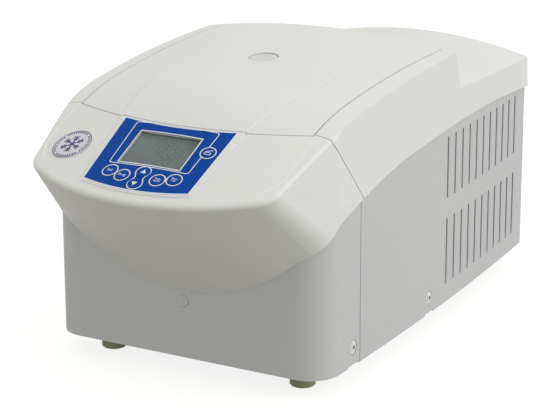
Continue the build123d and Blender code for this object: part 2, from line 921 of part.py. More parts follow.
# Plug on the pull cord of the emergency lid release
with BuildPart() as release_plug:
    with BuildSketch(Plane.XZ.offset(-front + plug_proud)):
        with Locations((0, release_height)):
            Circle(release_radius)
    extrude(amount=-plug_length)
    chamfer(release_plug.edges().group_by(Axis.Y)[0], 0.5)
finish(release_plug, "release_plug")

# Side frames and chamber deck: the chassis that carries the bowl, the housing and the hinge
frame_low = pan_top + seat_gap
frame_top = deck_plate_top - deck_plate
with BuildPart() as side_frames:
    with BuildSketch(Plane.XY.offset(frame_low)):
        length = frame_rear_back - frame_front_back
        with Locations((0, front + frame_front_back + length / 2)):
            with GridLocations(2 * frame_half + frame_sheet, 1, 2, 1):
                Rectangle(frame_sheet, length)
    extrude(amount=frame_top - frame_low)
finish(side_frames, "side_frames")

deck_plate_half = bracket_inner + hinge_plate + 0.3
deck_plate_front = front - 6
deck_plate_rear = hinge_y + 17
with BuildPart() as chamber_deck:
    with BuildSketch(Plane.XY.offset(frame_top)):
        with BuildLine():
            Polyline(
                (-deck_plate_half, deck_plate_front + deck_corner_cut),
                (-deck_plate_half + deck_corner_cut, deck_plate_front),
                (deck_plate_half - deck_corner_cut, deck_plate_front),
                (deck_plate_half, deck_plate_front + deck_corner_cut),
                (deck_plate_half, deck_plate_rear), (-deck_plate_half, deck_plate_rear), close=True
            )
        make_face()
        with Locations(chamber):
            Circle(bowl_radius + bowl_wall + seam_gap, mode=Mode.SUBTRACT)
        with Locations((0, front + catch_back - 3)):
            Rectangle(4 * catch_sheet, 4.5 * catch_half, mode=Mode.SUBTRACT)
    extrude(amount=deck_plate)
finish(chamber_deck, "chamber_deck")

# Lid lock: a box under the deck that the catch drops into, with its hook beside the slot
with BuildPart() as lock_housing:
    with Locations((0, front + catch_back - 1, frame_top - lock_height)):
        Box(lock_width, lock_length, lock_height, align=(Align.CENTER, Align.CENTER, Align.MIN))
    with Locations((0, front + catch_back - 2.5, catch_low - 3)):
        Box(2 * lock_slot_half, 4.2 * catch_half, far, align=(Align.CENTER, Align.CENTER, Align.MIN),
            mode=Mode.SUBTRACT)
    with Locations((lock_slot_half, front + catch_back, catch_low - 1)):
        Box(catch_sheet + 2 * seat_gap, hook_width + 5, far, align=(Align.MIN, Align.CENTER, Align.MIN),
            mode=Mode.SUBTRACT)
finish(lock_housing, "lock_housing")

with BuildPart() as lock_hook:
    with BuildSketch(Plane.YZ.offset(lock_slot_half + seat_gap)):
        with Locations((front + catch_back, catch_low + hook_length / 2)):
            SlotOverall(hook_length, hook_width, rotation=90)
            Circle(hook_hole, mode=Mode.SUBTRACT)
    extrude(amount=catch_sheet)
finish(lock_hook, "lock_hook")

# Cross wall between the chamber and the refrigeration compartment
suction_across = compressor_across
with BuildPart() as bulkhead:
    with BuildSketch(Plane.XZ.offset(-front - bulkhead_back)):
        with Locations((0, (frame_low + frame_top) / 2)):
            Rectangle(2 * frame_half, frame_top - frame_low - seat_gap)
        with Locations((suction_across, suction_height)):
            Circle(2 * pipe_radius, mode=Mode.SUBTRACT)
    extrude(amount=-frame_sheet)
finish(bulkhead, "bulkhead")

# Steel bowl of the chamber, hung by its flange on the deck plate
bowl_outer = bowl_radius + bowl_wall
bowl_low = bowl_floor - bowl_wall
chamber_axis = Axis((chamber[0], chamber[1], 0), (0, 0, 1))
chamber_side = Plane(origin=(chamber[0], chamber[1], 0), x_dir=(1, 0, 0), z_dir=(0, -1, 0))
with BuildPart() as chamber_bowl:
    with BuildSketch(chamber_side):
        with BuildLine():
            Polyline(
                (shaft_seal_radius, bowl_low), (bowl_outer, bowl_low), (bowl_outer, deck_plate_top),
                (flange_radius, deck_plate_top), (flange_radius, flange_top), (bowl_radius, flange_top),
                (bowl_radius, bowl_floor), (shaft_seal_radius, bowl_floor), close=True
            )
        make_face()
    revolve(axis=chamber_axis)
finish(chamber_bowl, "chamber_bowl")

# Evaporator: one copper tube wound round the bowl
coil_gap = 0.15
coil_radius = bowl_outer + coil_gap + coil_wire / 2
with BuildPart() as evaporator_coil:
    with BuildLine():
        winding = Helix(
            coil_pitch, coil_turns * coil_pitch, coil_radius,
            center=(chamber[0], chamber[1], bowl_floor + coil_wire + 4)
        )
    with BuildSketch(Plane(origin=winding @ 0, z_dir=winding % 0)):
        Circle(coil_wire / 2)
    sweep(is_frenet=True)
finish(evaporator_coil, "evaporator_coil")

# Foam round the bowl and its coil
foam_inner = coil_radius + coil_wire / 2 + coil_gap
foam_low = motor_plate_height + motor_plate_thickness + 4
with BuildPart() as bowl_insulation:
    with BuildSketch(Plane.XY.offset(foam_low)):
        with Locations(chamber):
            Circle(insulation_radius)
    extrude(amount=frame_top - seat_gap - foam_low)
    with BuildSketch(Plane.XY.offset(bowl_low - seat_gap)):
        with Locations(chamber):
            Circle(foam_inner)
    extrude(amount=height, mode=Mode.SUBTRACT)
    with BuildSketch(Plane.XY.offset(foam_low - 1)):
        with Locations(chamber):
            Circle(shaft_seal_radius + 5)
    extrude(amount=height, mode=Mode.SUBTRACT)
finish(bowl_insulation, "bowl_insulation")

# Motor plate on four rubber buffers, which stand on the pan's studs
with BuildPart() as motor_buffers:
    with BuildSketch(Plane.XY.offset(stud_top)):
        with Locations(chamber):
            with GridLocations(buffer_spread, buffer_spread, 2, 2):
                Circle(buffer_radius)
    extrude(amount=buffer_height)
finish(motor_buffers, "motor_buffers")

plate_top = motor_plate_height + motor_plate_thickness
with BuildPart() as motor_plate:
    with BuildSketch(Plane.XY.offset(motor_plate_height)):
        with Locations(chamber):
            RectangleRounded(motor_plate_size, motor_plate_size, buffer_radius)
            Circle(motor_boss + seat_gap, mode=Mode.SUBTRACT)
    extrude(amount=motor_plate_thickness)
finish(motor_plate, "motor_plate")

motor_low = motor_plate_height - motor_length
with BuildPart() as motor_body:
    with BuildSketch(Plane.XY.offset(motor_low)):
        with Locations(chamber):
            Circle(motor_radius)
    extrude(amount=motor_length)
    fillet(motor_body.edges().group_by(Axis.Z)[0], 4)
    with BuildSketch(Plane.XY.offset(motor_plate_height)):
        with Locations(chamber):
            Circle(motor_boss)
    extrude(amount=motor_plate_thickness + 7)
    with BuildSketch(Plane.XY.offset(motor_low + motor_end_wall)):
        with Locations(chamber):
            Circle(shaft_radius + shaft_gap)
    extrude(amount=height, mode=Mode.SUBTRACT)
finish(motor_body, "motor_body")

# Shaft from the motor up through the bowl's floor into the rotor
shaft_top = rotor_top + rotor_lid_thickness + seat_gap
with BuildPart() as motor_shaft:
    with BuildSketch(Plane.XY.offset(motor_low + motor_end_wall + seat_gap)):
        with Locations(chamber):
            Circle(shaft_radius)
    extrude(amount=shaft_top - motor_low - motor_end_wall - seat_gap)
    with BuildSketch(Plane.XY.offset(rotor_bottom - hub_collar)):
        with Locations(chamber):
            Circle(shaft_radius + hub_collar)
    extrude(amount=hub_collar)
    with BuildSketch(Plane.XY.offset(shaft_top)):
        with Locations(chamber):
            Circle(shaft_radius - stud_step)
    extrude(amount=knob_height - 4)
finish(motor_shaft, "motor_shaft")

with BuildPart() as shaft_seal:
    with BuildSketch(Plane.XY.offset(bowl_low)):
        with Locations(chamber):
            Circle(shaft_seal_radius - shaft_gap)
    extrude(amount=bowl_wall + 1)
    with BuildSketch(Plane.XY.offset(bowl_floor + shaft_gap)):
        with Locations(chamber):
            Circle(shaft_seal_radius + 4)
    extrude(amount=2)
    with BuildSketch(Plane.XY.offset(bowl_low)):
        with Locations(chamber):
            Circle(shaft_radius + 0.6)
    extrude(amount=10, mode=Mode.SUBTRACT)
finish(shaft_seal, "shaft_seal")

# Angle rotor: a turned body with a ring of slanted tube bores
bore_ring = (rotor_funnel_outer + rotor_funnel_inner) / 2
bore_height = (rotor_top + rotor_floor) / 2
with BuildPart() as rotor:
    with BuildSketch(chamber_side):
        with BuildLine():
            Polyline(
                (shaft_radius, rotor_bottom), (rotor_radius - rotor_taper, rotor_bottom),
                (rotor_radius, rotor_bottom + rotor_chamfer), (rotor_radius, rotor_top - 2 * rotor_lip),
                (rotor_radius - rotor_lip, rotor_top), (rotor_funnel_outer, rotor_top),
                (rotor_funnel_inner, rotor_floor), (rotor_hub, rotor_floor),
                (rotor_hub, rotor_top), (shaft_radius, rotor_top), close=True
            )
        make_face()
    revolve(axis=chamber_axis)
    for number in range(tube_count):
        turn = radians(number * 360 / tube_count)
        outward = Vector(cos(turn), sin(turn), -1)
        mouth = Vector(chamber[0] + bore_ring * cos(turn), chamber[1] + bore_ring * sin(turn), bore_height)
        with BuildSketch(Plane(origin=mouth - outward * 12, z_dir=outward)):
            Circle(tube_radius)
        extrude(amount=tube_length + 12, mode=Mode.SUBTRACT)
finish(rotor, "rotor")

with BuildPart() as rotor_lid:
    with BuildSketch(Plane.XY.offset(rotor_top + seat_gap)):
        with Locations(chamber):
            Circle(rotor_radius - 4)
            Circle(shaft_radius + shaft_gap, mode=Mode.SUBTRACT)
    extrude(amount=rotor_lid_thickness)
    rim = rotor_lid.edges().filter_by(GeomType.CIRCLE).group_by(SortBy.RADIUS)[-1]
    chamfer(rim.group_by(Axis.Z)[-1], 1)
finish(rotor_lid, "rotor_lid")

with BuildPart() as rotor_knob:
    with BuildSketch(Plane.XY.offset(shaft_top + seat_gap)):
        with Locations(chamber):
            Circle(knob_radius)
            with PolarLocations(knob_radius + 3, knob_flutes):
                Circle(knob_flute, mode=Mode.SUBTRACT)
    extrude(amount=knob_height)
    with BuildSketch(Plane.XY.offset(shaft_top)):
        with Locations(chamber):
            Circle(shaft_radius - stud_step + shaft_gap)
    extrude(amount=knob_height - 3, mode=Mode.SUBTRACT)
finish(rotor_knob, "rotor_knob")

# Compressor on four rubber grommets, at the left of the rear compartment
compressor_low = pan_top + grommet_height
compressor_top = suction_height - suction_rise
compressor_at = (compressor_across, front + compressor_back)
with BuildPart() as compressor_grommets:
    with BuildSketch(Plane.XY.offset(pan_top)):
        with Locations(compressor_at):
            with GridLocations(*grommet_spread, 2, 2):
                Circle(grommet_radius)
    extrude(amount=grommet_height)
finish(compressor_grommets, "compressor_grommets")

with BuildPart() as compressor:
    with BuildSketch(Plane.XY.offset(compressor_low)):
        with Locations(compressor_at):
            RectangleRounded(*compressor_plate, grommet_radius)
    extrude(amount=compressor_plate_sheet)
    with BuildSketch(Plane.XY.offset(compressor_low)):
        with Locations(compressor_at):
            Circle(compressor_radius)
    extrude(amount=compressor_top - compressor_low)
    fillet(compressor.edges().group_by(Axis.Z)[-1], compressor_crown)
finish(compressor, "compressor")

# Condenser: finned block on the right, with the fan and its shroud inside it
condenser_low = pan_top + seat_gap
condenser_height = deck_plate_top - condenser_drop - condenser_low
condenser_mid = condenser_low + condenser_height / 2
condenser_y = front + condenser_back
fin_count = int(condenser_length / fin_pitch) + 1
condenser_plane = Plane.XZ.offset(-condenser_y)
with BuildPart() as condenser:
    for number in range(fin_count):
        fin_y = (number - (fin_count - 1) / 2) * fin_pitch
        with BuildSketch(condenser_plane.offset(-fin_y)):
            with Locations((condenser_across, condenser_mid)):
                Rectangle(condenser_thickness, condenser_height)
        extrude(amount=fin_sheet / 2, both=True)
    with BuildSketch(condenser_plane):
        with Locations((condenser_across, condenser_mid)):
            with GridLocations(condenser_thickness / 2, condenser_height / 6, 2, 6):
                Circle(condenser_tube)
    extrude(amount=condenser_length / 2, both=True)
finish(condenser, "condenser")

fan_radius = fan_share * condenser_height
shroud_face = condenser_across - condenser_thickness / 2 - seat_gap
fan_plane = Plane(origin=(0, condenser_y, condenser_mid), x_dir=(0, 1, 0), z_dir=(1, 0, 0))
fan_start = shroud_face - shroud_sheet - fan_tip_gap - fan_width
with BuildPart() as fan_shroud:
    with BuildSketch(fan_plane.offset(shroud_face - shroud_sheet)):
        Rectangle(condenser_length, condenser_height)
        Circle(fan_radius + fan_tip_gap, mode=Mode.SUBTRACT)
    extrude(amount=shroud_sheet)
    with BuildSketch(fan_plane.offset(fan_start - 1)):
        Circle(fan_radius + fan_tip_gap + shroud_sheet)
        Circle(fan_radius + fan_tip_gap, mode=Mode.SUBTRACT)
    extrude(amount=shroud_face - fan_start)
finish(fan_shroud, "fan_shroud")

with BuildPart() as fan_wheel:
    with BuildSketch(fan_plane.offset(fan_start)):
        Circle(fan_hub_radius)
    extrude(amount=fan_width)
    for number in range(fan_blades):
        turn = radians(number * 360 / fan_blades)
        reach = Vector(0, cos(turn), sin(turn))
        root = Vector(fan_start + fan_width / 2, condenser_y, condenser_mid) + reach * (fan_hub_radius - 3)
        twist = Vector(1, 0, 0).rotate(Axis((0, 0, 0), tuple(reach)), fan_blade_twist)
        with BuildSketch(Plane(origin=root, x_dir=twist, z_dir=reach)):
            Rectangle(fan_width * 1.3, fan_blade_sheet)
        extrude(amount=fan_radius - fan_hub_radius + 2.5)
    with BuildSketch(fan_plane.offset(fan_start - 1)):
        Circle(fan_shaft + shaft_gap)
    extrude(amount=fan_width - 3, mode=Mode.SUBTRACT)
finish(fan_wheel, "fan_wheel")

with BuildPart() as fan_motor:
    with BuildSketch(fan_plane.offset(fan_start - 1 - fan_motor_length)):
        Circle(fan_motor_radius)
    extrude(amount=fan_motor_length)
    with BuildSketch(fan_plane.offset(fan_start - 2)):
        Circle(fan_shaft)
    extrude(amount=fan_width - 3)
    with Locations((fan_start - fan_motor_length / 2, condenser_y, condenser_low)):
        Box(
            12, 20, condenser_mid - fan_motor_radius - condenser_low + 4,
            align=(Align.CENTER, Align.CENTER, Align.MIN)
        )
        Box(fan_motor_length - 4, 30, 3, align=(Align.CENTER, Align.CENTER, Align.MIN))
finish(fan_motor, "fan_motor")

# Filter drier clipped to the bulkhead, and the two visible runs of copper pipe
with BuildPart() as filter_drier:
    drier_y = front + bulkhead_back + frame_sheet + seat_gap + drier_radius
    with BuildSketch(Plane.XY.offset(pan_top + drier_rise)):
        with Locations((drier_across, drier_y)):
            Circle(drier_radius)
    extrude(amount=drier_length)
    fillet(filter_drier.edges(), 4)
finish(filter_drier, "filter_drier")


def pipe(points, bend):
    """Copper pipe along straight runs joined by bends."""
    with BuildPart() as tube:
        with BuildLine() as route:
            FilletPolyline(*points, radius=bend)
        start = route.line @ 0
        with BuildSketch(Plane(origin=start, z_dir=route.line % 0)):
            Circle(pipe_radius)
        sweep(path=route.line)
    return tube


pipe_start = compressor_top + seat_gap
discharge_across = compressor_across + discharge_shift
discharge_pipe = pipe([
    (discharge_across, condenser_y, pipe_start),
    (discharge_across, condenser_y, pipe_start + discharge_rise),
    (condenser_across, condenser_y, pipe_start + discharge_rise),
    (condenser_across, condenser_y, condenser_low + condenser_height + seat_gap)
], pipe_bend)
finish(discharge_pipe, "discharge_pipe")

foam_y = chamber[1] + sqrt(insulation_radius**2 - suction_across**2)
suction_pipe = pipe([
    (suction_across, foam_y + 2, suction_height),
    (suction_across, front + compressor_back, suction_height),
    (suction_across, front + compressor_back, pipe_start)
], pipe_bend)
finish(suction_pipe, "suction_pipe")

# Drive board with its heat sink, standing behind the front panel and below the foam
board_top = foam_low - board_drop
sink_high = foam_low - sink_drop - sink_low
with BuildPart() as drive_board:
    with Locations((board_across, front + board_back, frame_low)):
        Box(2 * board_half, board, board_top - frame_low, align=(Align.CENTER, Align.MIN, Align.MIN))
    with Locations((board_across, front + board_back + board, sink_low)):
        Box(sink_across, sink_base, sink_high, align=(Align.CENTER, Align.MIN, Align.MIN))
    with Locations((board_across, front + board_back + board, sink_low + sink_high / 2)):
        with GridLocations(sink_fin_pitch, 1, round(sink_across / sink_fin_pitch) + 1, 1):
            Box(2, sink_fin, sink_high, align=(Align.CENTER, Align.MIN, Align.CENTER))
finish(drive_board, "drive_board")

# Mains inlet, fuse drawer and rocker switch in the rear wall
inlet_plane = back_plane.offset(0.02)
with BuildPart() as mains_inlet:
    with BuildSketch(inlet_plane):
        with Locations((-inlet_across, inlet_height - drawer_drop / 2)):
            RectangleRounded(inlet_flange, inlet_flange, 3)
    extrude(amount=flange_thickness)
    with BuildSketch(inlet_plane):
        with Locations((-inlet_across, inlet_height)):
            Rectangle(socket_across, socket_high)
        with Locations((-inlet_across, inlet_height - drawer_drop)):
            Rectangle(drawer_across, drawer_high)
    extrude(amount=-inlet_depth)
    with BuildSketch(inlet_plane.offset(flange_thickness)):
        with Locations((-inlet_across, inlet_height)):
            Rectangle(socket_across - 2 * socket_wall, socket_high - 2 * socket_wall)
    extrude(amount=-flange_thickness - inlet_depth + 5, mode=Mode.SUBTRACT)
    with BuildSketch(inlet_plane.offset(flange_thickness)):
        with Locations((-inlet_across, inlet_height - drawer_drop)):
            gap = 2 * running_gap - 2 * drawer_wall
            Rectangle(drawer_across + gap, drawer_high + gap)
    extrude(amount=-flange_thickness - inlet_depth + 2, mode=Mode.SUBTRACT)
    with BuildSketch(inlet_plane.offset(4.5 - inlet_depth)):
        with Locations((-inlet_across, inlet_height)):
            with Locations((-7, -2), (7, -2), (0, 2)):
                Rectangle(2, 4)
    extrude(amount=inlet_depth - 9)
finish(mains_inlet, "mains_inlet")

with BuildPart() as fuse_drawer:
    with BuildSketch(inlet_plane.offset(flange_thickness + 1)):
        with Locations((-inlet_across, inlet_height - drawer_drop)):
            Rectangle(drawer_across - 2 * drawer_wall, drawer_high - 2 * drawer_wall)
    extrude(amount=-drawer_length)
finish(fuse_drawer, "fuse_drawer")

rocker_pivot = base_rear - rocker_sunk
rocker_line = Plane(origin=(switch_across, rocker_pivot, inlet_height), x_dir=(0, 1, 0), z_dir=(1, 0, 0))
with BuildPart() as switch_frame:
    with BuildSketch(inlet_plane):
        with Locations((-switch_across, inlet_height)):
            RectangleRounded(switch_wide + 4, switch_high + 5, 1.5)
    extrude(amount=1.5)
    with BuildSketch(inlet_plane):
        with Locations((-switch_across, inlet_height)):
            Rectangle(switch_wide, switch_high)
    extrude(amount=-switch_depth)
    with BuildSketch(inlet_plane.offset(2)):
        with Locations((-switch_across, inlet_height)):
            Rectangle(switch_wide - 3, 2 * rocker_half + 1.2)
    extrude(amount=-12, mode=Mode.SUBTRACT)
    with BuildSketch(rocker_line):
        Circle(rocker_pin + shaft_gap)
    extrude(amount=(switch_wide - 3) / 2 + rocker_pin_reach + shaft_gap, both=True, mode=Mode.SUBTRACT)
finish(switch_frame, "switch_frame")

with BuildPart() as switch_rocker:
    with BuildSketch(rocker_line):
        with BuildLine():
            Polyline((-4, -5), (3.2, -rocker_half + 0.4), (5.2, -rocker_half + 1), (4.2, 0),
                     (5.2, rocker_half - 1), (3.2, rocker_half - 0.4), (-4, 5), close=True)
        make_face()
    extrude(amount=(switch_wide - 3) / 2 - running_gap, both=True)
    with BuildSketch(rocker_line):
        Circle(rocker_pin)
    extrude(amount=(switch_wide - 3) / 2 + rocker_pin_reach, both=True)
finish(switch_rocker, "switch_rocker")

# Control foil over the tongue's foot, cut out for the display and the keys
foil_lift = tongue_height + shaft_gap
with BuildPart() as foil_plan:
    with BuildSketch(Plane.XY.offset(nose_edge_height - 20)):
        with BuildLine():
            top_right = (foil_top_half, front + foil_top_back)
            top_left = (-foil_top_half, front + foil_top_back)
            foot_right = (foil_foot_half, front + foil_foot_back)
            foot_left = (-foil_foot_half, front + foil_foot_back)
            ThreePointArc(top_left, (0, front + foil_top_mid_back), top_right)
            Line(top_right, foot_right)
            ThreePointArc(foot_right, (0, front + foil_foot_mid_back), foot_left)
            Line(foot_left, top_left)
        make_face()
    extrude(amount=height)
with BuildPart() as control_foil:
    add(foil_plan.part & (roof_block(-foil_lift - foil_thickness) - roof_block(-foil_lift)))
    with BuildSketch(display_plane):
        Rectangle(display_across, display_along)
    extrude(amount=3 * upper_wall, both=True, mode=Mode.SUBTRACT)
    for across, back in key_places.values():
        with BuildSketch(roof_plane(across, back)):
            Circle(key_radius + running_gap)
        extrude(amount=3 * upper_wall, both=True, mode=Mode.SUBTRACT)
finish(control_foil, "control_foil")

# Display window sunk in its opening, and the display module behind it
with BuildPart() as display_window:
    with BuildSketch(display_plane.offset(-window_sunk)):
        Rectangle(display_across - 2 * seat_gap, display_along - 2 * seat_gap)
    extrude(amount=window_thickness)
finish(display_window, "display_window")

module_top = -window_sunk - seat_gap
module_across = display_across + 2 * module_rim
module_along = display_along + 2 * module_rim
skin_low = -upper_wall - 1.2
with BuildPart() as display_module:
    with BuildSketch(display_plane.offset(skin_low)):
        Rectangle(module_across, module_along)
    extrude(amount=-module_depth)
    with BuildSketch(display_plane.offset(module_top)):
        Rectangle(display_across - 2, display_along - 2)
    extrude(amount=skin_low - module_top)
finish(display_module, "display_module")

# Control board parallel to the panel, with a dome switch under each key
board_level = -key_level - 1.5
with BuildPart() as control_board:
    with BuildSketch(display_plane.offset(board_level)):
        with Locations((0, control_board_shift)):
            Rectangle(control_board_across, control_board_along)
        Rectangle(module_across + 2 * seat_gap, module_along + 2 * seat_gap, mode=Mode.SUBTRACT)
    extrude(amount=-board)
    for across, back in key_places.values():
        along = (back - display_back) / cos(console_slope)
        with BuildSketch(display_plane.offset(board_level)):
            with Locations((across, along)):
                Circle(key_radius - 2)
        extrude(amount=dome_height)
finish(control_board, "control_board")


def key_cap(across, back):
    """Round key that slides in the cover square to the panel."""
    plane = roof_plane(across, back)
    drop = display_plane.to_local_coords(plane.origin).Z
    with BuildPart() as cap:
        with BuildSketch(plane.offset(keys_top + key_proud)):
            Circle(key_radius)
        extrude(amount=-(keys_top + key_proud + key_level + drop))
        chamfer(cap.edges().sort_by(Axis((0, 0, 0), plane.z_dir))[-1], 0.4)
    return cap


for name, place in key_places.items():
    finish(key_cap(*place), f"key_{name}")

# Round cooling badge on the console
with BuildPart() as cooling_badge:
    with BuildSketch(roof_plane(badge_across, badge_back, shaft_gap)):
        Circle(badge_radius)
    extrude(amount=badge_thickness)
finish(cooling_badge, "cooling_badge")
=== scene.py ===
import math

import bpy
from mathutils import Matrix, Vector


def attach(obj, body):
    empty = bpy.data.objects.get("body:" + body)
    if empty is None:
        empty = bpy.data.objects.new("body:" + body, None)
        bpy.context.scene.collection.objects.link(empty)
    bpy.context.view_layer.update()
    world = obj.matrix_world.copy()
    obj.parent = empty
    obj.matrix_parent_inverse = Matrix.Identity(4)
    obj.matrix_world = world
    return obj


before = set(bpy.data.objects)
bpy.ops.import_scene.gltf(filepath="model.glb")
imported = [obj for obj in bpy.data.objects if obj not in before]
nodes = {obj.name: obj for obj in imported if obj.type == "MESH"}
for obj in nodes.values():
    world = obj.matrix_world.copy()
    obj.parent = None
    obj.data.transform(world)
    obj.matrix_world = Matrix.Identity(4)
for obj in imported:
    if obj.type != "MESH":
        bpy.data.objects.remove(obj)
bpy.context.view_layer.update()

MM = 0.001
FRONT = -185.0
CONSOLE_TOP = 225.5
CONSOLE_LEAN = math.radians(26.8)
CREST_BACK = 76.0
CREST_HEIGHT = 249.5
ROOF_AXIS = 263.5 - 800.0
DISPLAY_BACK = -29.8
FOIL_TOP = 1.85
KEY_TOP = 2.3
FOIL_FOOT_HALF = 51.7
FOIL_FOOT_BACK = -69.5
FOIL_FLARE = 0.06
FOIL_TOP_MID_BACK = -4.0
FOIL_FOOT_MID_BACK = -77.0
FOIL_BORDER = 0.8
CREASE_HALF = 118.8
CREASE_BEND_BACK = -15.0
CREASE_BEND = 0.00039
KEY_RING = 14.6
RING_LINE = 0.95
FRAME_SHIFT = 0.6
FRAME_BACK = -26.0
BADGE = (-89.5, -30.5)
BADGE_TOP = 0.65
SIGHT_BACK = 139.2
SCREWS = [(53.4, 35.9), (207.0, 34.2)]
KEYS = {
    "set": (-31.2, -58.3),
    "program": (-17.0, -61.9),
    "up": (0.6, -56.0),
    "down": (-0.6, -68.7),
    "stop": (17.4, -61.7),
    "start": (31.6, -58.3),
    "lid": (43.3, -24.5),
}


# Places on the crowned roof

def roof_line(back):
    """Height and slope of the roof's centre line at a distance back from the grey front."""
    if back < 0:
        return CONSOLE_TOP + back * math.tan(CONSOLE_LEAN), CONSOLE_LEAN
    crest_lean = 2 * math.atan2(CREST_HEIGHT - CONSOLE_TOP, CREST_BACK) - CONSOLE_LEAN
    chord = math.hypot(CREST_BACK, CREST_HEIGHT - CONSOLE_TOP)
    radius = chord / (2 * math.sin((CONSOLE_LEAN - crest_lean) / 2))
    lean = math.asin(math.sin(CONSOLE_LEAN) - back / radius)
    return CONSOLE_TOP + radius * (math.cos(lean) - math.cos(CONSOLE_LEAN)), lean


def on_roof(across, back, lift=0.0):
    """Point in metres on the roof, raised by lift along its normal."""
    top, lean = roof_line(back)
    radius = top - ROOF_AXIS
    roll = math.asin(across / radius)
    normal = Vector((math.sin(roll) * math.cos(lean), -math.sin(lean), math.cos(roll) * math.cos(lean)))
    place = Vector((across, FRONT + back, ROOF_AXIS + radius * math.cos(roll)))
    return (place + normal * lift) * MM


def flat_on_roof(across, back, lift=0.0):
    """Matrix that carries flat work in mm onto the plane that touches the roof at a place."""
    top, lean = roof_line(back)
    roll = math.asin(across / (top - ROOF_AXIS))
    z = Vector((math.sin(roll) * math.cos(lean), -math.sin(lean), math.cos(roll) * math.cos(lean)))
    x = Vector((math.cos(roll), 0, -math.sin(roll)))
    turn = Matrix((x, z.cross(x), z)).transposed().to_4x4()
    return Matrix.Translation(on_roof(across, back, lift)) @ turn @ Matrix.Scale(MM, 4)


# Shader maths

class Wire:
    """A shader socket that takes part in sums."""

    def __init__(self, paint, socket):
        self.paint = paint
        self.socket = socket

    def maths(self, operation, first, second=None):
        inputs = {0: first} if second is None else {0: first, 1: second}
        return self.paint.node("ShaderNodeMath", {"operation": operation}, inputs)

    def __add__(self, other):
        return self.maths("ADD", self, other)

    __radd__ = __add__

    def __sub__(self, other):
        return self.maths("SUBTRACT", self, other)

    def __rsub__(self, other):
        return self.maths("SUBTRACT", other, self)

    def __mul__(self, other):
        return self.maths("MULTIPLY", self, other)

    __rmul__ = __mul__

    def __abs__(self):
        return self.maths("ABSOLUTE", self)

    def __lt__(self, other):
        return self.maths("LESS_THAN", self, other)

    def __gt__(self, other):
        return self.maths("GREATER_THAN", self, other)

    def smooth(self, low, high):
        """0 below low and 1 above high, with a soft change between them."""
        ends = {0: self, 1: low, 2: high}
        return self.paint.node("ShaderNodeMapRange", {"interpolation_type": "SMOOTHSTEP"}, ends)


class Paint:
    """A material being mixed: one Principled shader and what feeds it."""

    def __init__(self, name, color, roughness, **sockets):
        self.material = bpy.data.materials.new(name)
        self.material.use_nodes = True
        self.tree = self.material.node_tree
        self.shader = self.tree.nodes["Principled BSDF"]
        self.color = color
        self.put("Base Color", (*color, 1))
        self.put("Roughness", roughness)
        for socket, value in sockets.items():
            self.put(socket.replace("_", " "), value)
        self.place = self.node("ShaderNodeTexCoord", output="Object")

    def put(self, socket, value):
        """Set one of the shader's sockets to a value or a wire."""
        target = self.shader.inputs[socket]
        if isinstance(value, Wire):
            self.tree.links.new(value.socket, target)
        else:
            target.default_value = value

    def node(self, kind, settings=None, inputs=None, output=0):
        """Add a node with its settings made first and then its sockets filled."""
        made = self.tree.nodes.new(kind)
        for setting, value in (settings or {}).items():
            if setting == "stops":
                for number, (position, color) in enumerate(value):
                    while len(made.color_ramp.elements) <= number:
                        made.color_ramp.elements.new(position)
                    made.color_ramp.elements[number].position = position
                    made.color_ramp.elements[number].color = color
            else:
                setattr(made, setting, value)
        for socket, value in (inputs or {}).items():
            if isinstance(value, Wire):
                self.tree.links.new(value.socket, made.inputs[socket])
            else:
                made.inputs[socket].default_value = value
        return Wire(self, made.outputs[output])

    def noise(self, scale, detail=2.0, stretch=None):
        """Soft noise, about 0 to 1, on the piece's own coordinates."""
        place = self.place
        if stretch:
            place = self.node("ShaderNodeMapping", inputs={"Vector": place, "Scale": stretch})
        return self.node("ShaderNodeTexNoise", inputs={"Vector": place, "Scale": scale, "Detail": detail})

    def axes(self):
        """The piece's coordinates in millimetres, as three wires."""
        split = [
            self.node("ShaderNodeSeparateXYZ", inputs={0: self.place}, output=axis) for axis in range(3)
        ]
        return [wire * 1000 for wire in split]

    def tint(self, other, amount):
        """Blend the base colour towards another colour by a wire."""
        settings = {"data_type": "RGBA"}
        first = self.shader.inputs["Base Color"]
        start = Wire(self, first.links[0].from_socket) if first.links else tuple(first.default_value)
        mixed = self.node("ShaderNodeMix", settings, {0: amount, 6: start, 7: (*other, 1)}, output=2)
        self.put("Base Color", mixed)

    def relief(self, height, distance, strength=1.0):
        """Bump the surface by a height wire, with its distance in millimetres."""
        inputs = {"Height": height, "Distance": distance * MM, "Strength": strength}
        normal = self.shader.inputs["Normal"]
        if normal.links:
            inputs["Normal"] = Wire(self, normal.links[0].from_socket)
        self.put("Normal", self.node("ShaderNodeBump", inputs=inputs))

    def worn(self, spread, scale=40.0):
        """Let the roughness vary slightly, as handling and moulding leave it."""
        base = self.shader.inputs["Roughness"].default_value
        self.put("Roughness", base - spread / 2 + self.noise(scale, 3.0) * spread)


def moulded_white(name, crease_and_highlight=False):
    """White moulded housing: faint sheen changes and a fine sparked grain; with a crease, a bumped fold and
    a painted highlight along it.
    """
    paint = Paint(name, (0.775, 0.773, 0.75), 0.42)
    paint.tint((0.75, 0.747, 0.723), paint.noise(7.0, 3.0).smooth(0.35, 0.75))
    paint.worn(0.10, 30.0)
    if crease_and_highlight:
        x, y, z = paint.axes()
        back = y - FRONT
        past = paint.node("ShaderNodeMath", {"operation": "MAXIMUM"}, {0: CREASE_BEND_BACK - back, 1: 0.0})
        away = abs(x) - (CREASE_HALF - past * past * past * CREASE_BEND)
        on_top = (z > 186.0) * back.smooth(-50.0, -42.0) * (1 - back.smooth(8.0, 24.0))
        # Bright line along the console's side crease: a painted highlight. The crease's shape is the bump
        # below.
        line = (1 - abs(away).smooth(0.0, 0.8)) * on_top
        paint.tint((0.98, 0.98, 0.96), line * 0.8)
        paint.relief(away.smooth(-1.0, 1.0) * on_top, 0.5, 0.5)
    paint.relief(paint.noise(2600.0, 1.0), 0.02, 0.5)
    return paint.material


